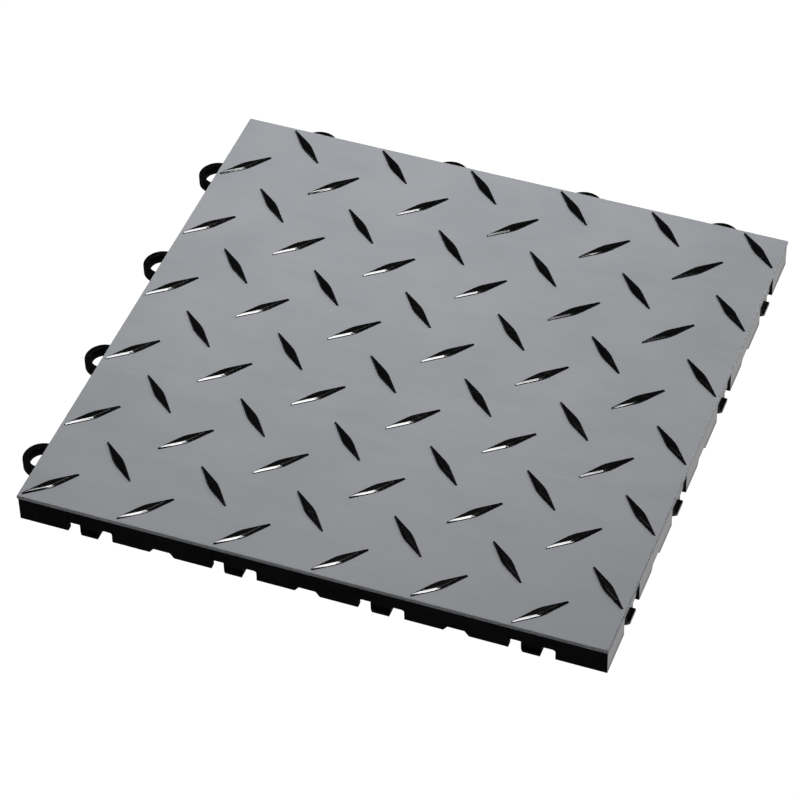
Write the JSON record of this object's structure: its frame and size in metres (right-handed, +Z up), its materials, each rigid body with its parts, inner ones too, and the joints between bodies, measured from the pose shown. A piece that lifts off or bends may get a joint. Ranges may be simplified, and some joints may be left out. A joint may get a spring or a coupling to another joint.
{
  "type": "interlocking garage floor tile",
  "caption": "Square snap-together floor tile, grey skin over a ribbed black base, with a raised-bar tread, loops on two sides and pegs on the others.",
  "frame": {"origin": "middle of the square tile on the floor plane, at the middle foot", "axes": "+Z up out of the walking surface, +X to the right peg side, +Y to the far loop side"},
  "size_m": [0.3196, 0.3196, 0.017],
  "materials": {
    "black_plastic": "semi-gloss",
    "grey_plastic": "satin"
  },
  "bodies": {
    "root": {"base": "black_plastic", "skin": "grey_plastic"}
  },
  "joints": []
}
